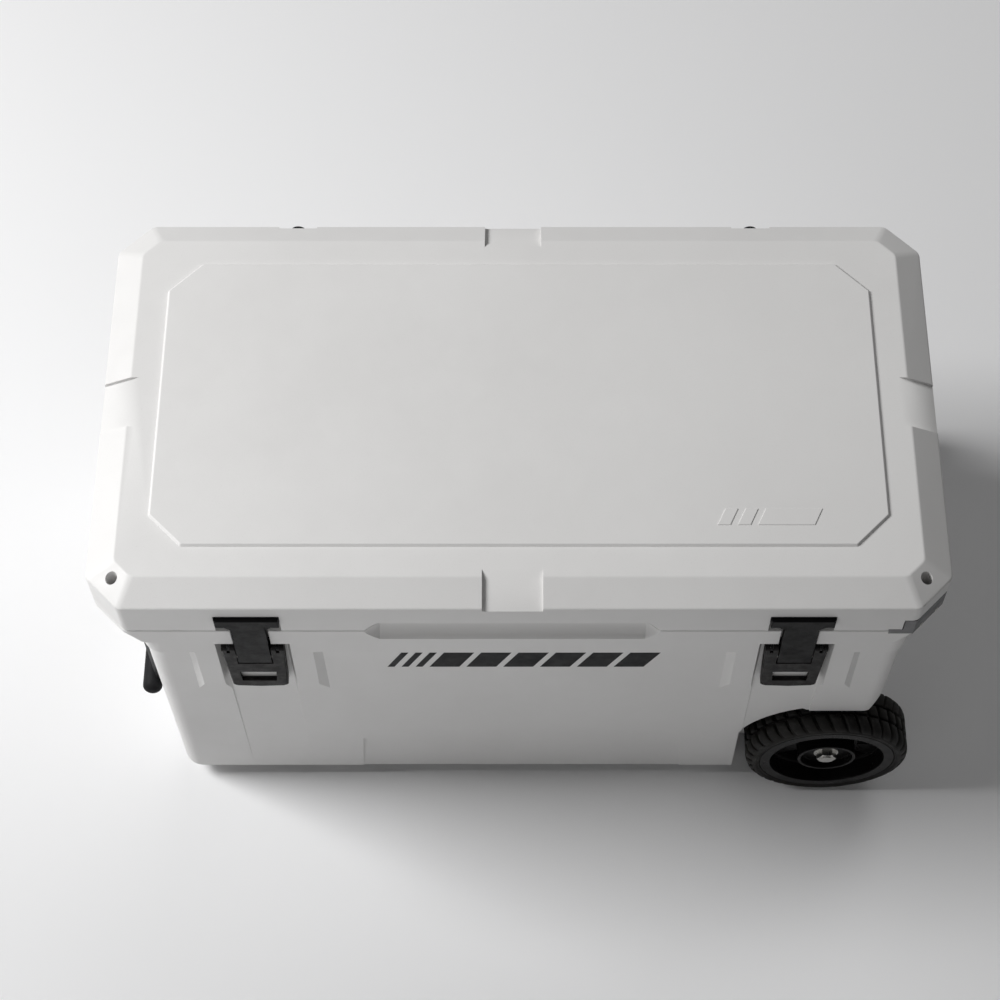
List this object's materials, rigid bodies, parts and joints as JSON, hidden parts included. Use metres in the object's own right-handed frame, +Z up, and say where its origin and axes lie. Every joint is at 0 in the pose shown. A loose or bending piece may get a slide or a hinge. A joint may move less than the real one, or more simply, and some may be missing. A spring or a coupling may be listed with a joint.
{
  "type": "wheeled hard cooler",
  "caption": "Hard-sided wheeled cooler: insulated tub and hinged lid, over-centre T-latches, treaded wheels on a through axle, and a swing-down tow handle.",
  "frame": {"origin": "on the floor under the middle of the lid's outline", "axes": "+X from the handle end towards the wheel end, -Y is the latched front, +Z up"},
  "size_m": [0.947, 0.53, 0.518],
  "materials": {
    "shell": "satin",
    "foam": "matte",
    "gasket": "matte",
    "latch_lever": "satin",
    "latch_hook": "satin",
    "hinge": "satin",
    "steel": "satin",
    "axle_steel": "satin",
    "tyre": "matte",
    "rim": "satin",
    "bush": "matte",
    "foot": "matte",
    "handle_frame": "satin",
    "grip": "matte",
    "lock_plate": "satin",
    "drain": "satin",
    "seal": "matte"
  },
  "bodies": {
    "tub": {"tub_shell": "shell", "tub_liner": "shell", "tub_foam": "foam", "rubber_feet": "foot", "foot_screws": "steel", "axle": "steel", "axle_sleeve": "axle_steel", "axle_washers": "steel", "axle_nuts": "steel", "axle_plates": "axle_steel", "axle_plate_screws": "steel", "axle_spacers": "bush", "handle_bracket_front": "handle_frame", "handle_bracket_rear": "handle_frame", "handle_bracket_screws": "steel", "handle_bolts": "steel", "latch_bracket_left": "hinge", "latch_bracket_right": "hinge", "latch_bracket_screws": "steel", "hinge_leaf_tub_left": "hinge", "hinge_leaf_tub_right": "hinge", "hinge_screws_tub": "steel", "corner_plate": "lock_plate", "corner_plate_screws": "steel", "drain_fitting": "drain"},
    "lid": {"lid_shell": "shell", "lid_foam": "foam", "lid_gasket": "gasket", "hinge_leaf_lid_left": "hinge", "hinge_leaf_lid_right": "hinge", "hinge_pin_left": "steel", "hinge_pin_right": "steel", "hinge_screws_lid": "steel"},
    "latch_lever_left": {"latch_lever_left": "latch_lever", "lever_pins_left": "steel", "hook_pin_left": "steel"},
    "latch_hook_left": {"latch_hook_left": "latch_hook"},
    "latch_lever_right": {"latch_lever_right": "latch_lever", "lever_pins_right": "steel", "hook_pin_right": "steel"},
    "latch_hook_right": {"latch_hook_right": "latch_hook"},
    "wheel_front": {"wheel_tyre_front": "tyre", "wheel_rim_front": "rim", "wheel_bushes_front": "bush"},
    "wheel_rear": {"wheel_tyre_rear": "tyre", "wheel_rim_rear": "rim", "wheel_bushes_rear": "bush"},
    "tow_handle": {"handle_frame": "handle_frame", "handle_grip": "grip"},
    "drain_plug": {"drain_plug": "drain", "drain_plug_seal": "seal"}
  },
  "joints": [
    {"name": "lid_hinge", "type": "hinge", "parent": "tub", "child": "lid", "pos_m": [0, 0.252, 0.445], "axis": [-1, 0, 0], "range_deg": [0, 95]},
    {"name": "latch_left", "type": "hinge", "parent": "tub", "child": "latch_lever_left", "pos_m": [-0.296, -0.25, 0.4025], "axis": [-1, 0, 0], "range_deg": [0, 120]},
    {"name": "hook_left", "type": "hinge", "parent": "latch_lever_left", "child": "latch_hook_left", "pos_m": [-0.296, -0.2515, 0.3815], "axis": [-1, 0, 0], "range_deg": [-120, 0]},
    {"name": "latch_right", "type": "hinge", "parent": "tub", "child": "latch_lever_right", "pos_m": [0.3086, -0.25, 0.4025], "axis": [-1, 0, 0], "range_deg": [0, 120]},
    {"name": "hook_right", "type": "hinge", "parent": "latch_lever_right", "child": "latch_hook_right", "pos_m": [0.3086, -0.2515, 0.3815], "axis": [-1, 0, 0], "range_deg": [-120, 0]},
    {"name": "wheel_spin_front", "type": "hinge", "parent": "tub", "child": "wheel_front", "pos_m": [0.378, -0.234, 0.099], "axis": [0, 1, 0], "continuous": true},
    {"name": "wheel_spin_rear", "type": "hinge", "parent": "tub", "child": "wheel_rear", "pos_m": [0.378, 0.234, 0.099], "axis": [0, 1, 0], "continuous": true},
    {"name": "tow_handle_swing", "type": "hinge", "parent": "tub", "child": "tow_handle", "pos_m": [-0.434, 0, 0.392], "axis": [0, 1, 0], "range_deg": [0, 105]},
    {"name": "drain_plug_pull", "type": "slide", "parent": "tub", "child": "drain_plug", "axis": [-1, 0, 0], "range_m": [0, 0.036]}
  ],
  "couplings": [
    {"joint": "hook_left", "follows": "latch_left", "ratio": -1},
    {"joint": "hook_right", "follows": "latch_right", "ratio": -1}
  ]
}
